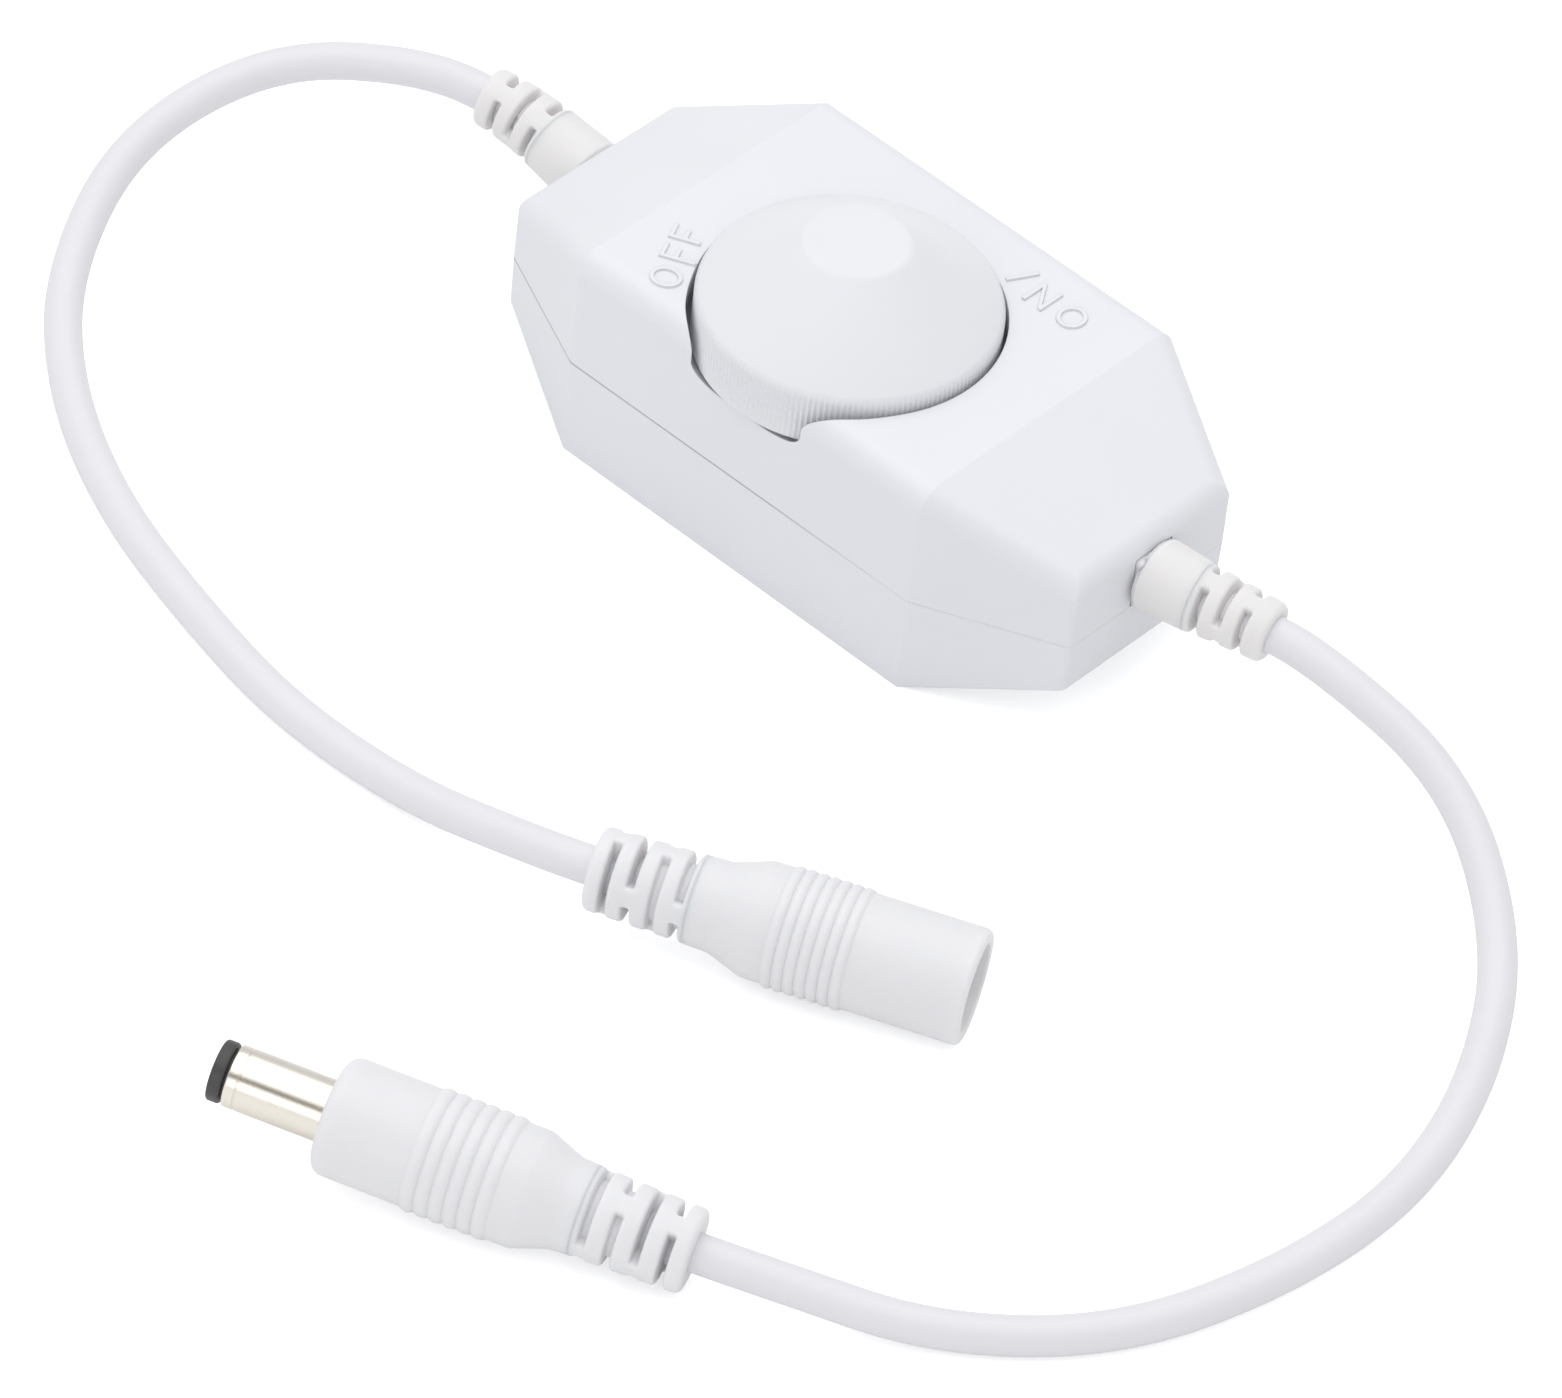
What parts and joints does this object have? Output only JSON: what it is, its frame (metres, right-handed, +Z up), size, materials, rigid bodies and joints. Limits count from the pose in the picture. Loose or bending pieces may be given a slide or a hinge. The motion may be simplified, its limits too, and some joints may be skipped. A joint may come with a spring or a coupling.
{
  "type": "led strip dimmer",
  "caption": "Inline rotary dimmer for LED strips: bevelled casing, cone knob in a broken-out well, slotted strain reliefs, cords to a barrel jack and a barrel plug.",
  "frame": {"origin": "centre of the casing's flat underside, on the surface that it lies on", "axes": "+Z up out of the knob, +X along the casing towards the output cord, -Y towards the side that the knob breaks through"},
  "size_m": [0.164, 0.1179, 0.0313],
  "materials": {
    "case": "satin moulded, cool white",
    "knob": "satin moulded, cool white",
    "relief": "satin soft vinyl, warm white",
    "cord": "satin vinyl jacket",
    "moulding": "satin soft vinyl",
    "insert": "matte",
    "nickel": "bright nickel",
    "tip_black": "matte",
    "contact_brass": "plain",
    "screw_steel": "zinc plated",
    "aluminium_shaft": "turned",
    "can_steel": "plated",
    "bush_brass": "plated",
    "nut_steel": "plated",
    "wafer": "pressed phenolic",
    "tin": "tinned",
    "board_green": "lacquered",
    "can_black": "shrink sleeve",
    "chip_black": "moulded",
    "resistor_black": "glazed",
    "ceramic": "fired",
    "solder": "reflowed",
    "wire": "insulated"
  },
  "bodies": {
    "casing": {"upper_shell": "case", "lower_shell": "case", "case_screws": "screw_steel", "pot_case": "can_steel", "pot_bushing": "bush_brass", "pot_nut": "nut_steel", "pot_wafer": "wafer", "pot_terminals": "tin", "circuit_board": "board_green", "capacitor_can": "can_black", "capacitor_leads": "tin", "mosfet_body": "chip_black", "mosfet_leads": "tin", "controller_chip": "chip_black", "chip_leads": "tin", "chip_resistors": "resistor_black", "chip_capacitors": "ceramic", "solder_joints": "solder", "output_wires": "wire", "input_wires": "wire", "output_strain_relief": "relief", "input_strain_relief": "relief", "output_cord": "cord", "input_cord": "cord", "plug_housing": "moulding", "plug_barrel": "nickel", "plug_insulator": "tip_black", "plug_inner_contact": "contact_brass", "jack_housing": "moulding", "jack_insert": "insert", "jack_centre_pin": "nickel", "jack_spring_contact": "contact_brass"},
    "knob_shaft": {"knob": "knob", "pot_shaft": "aluminium_shaft"}
  },
  "joints": [
    {"name": "knob_turn", "type": "hinge", "parent": "casing", "child": "knob_shaft", "pos_m": [-0.0002, -0.0035, 0.0184], "axis": [0, 0, -1], "range_deg": [0, 300]}
  ]
}
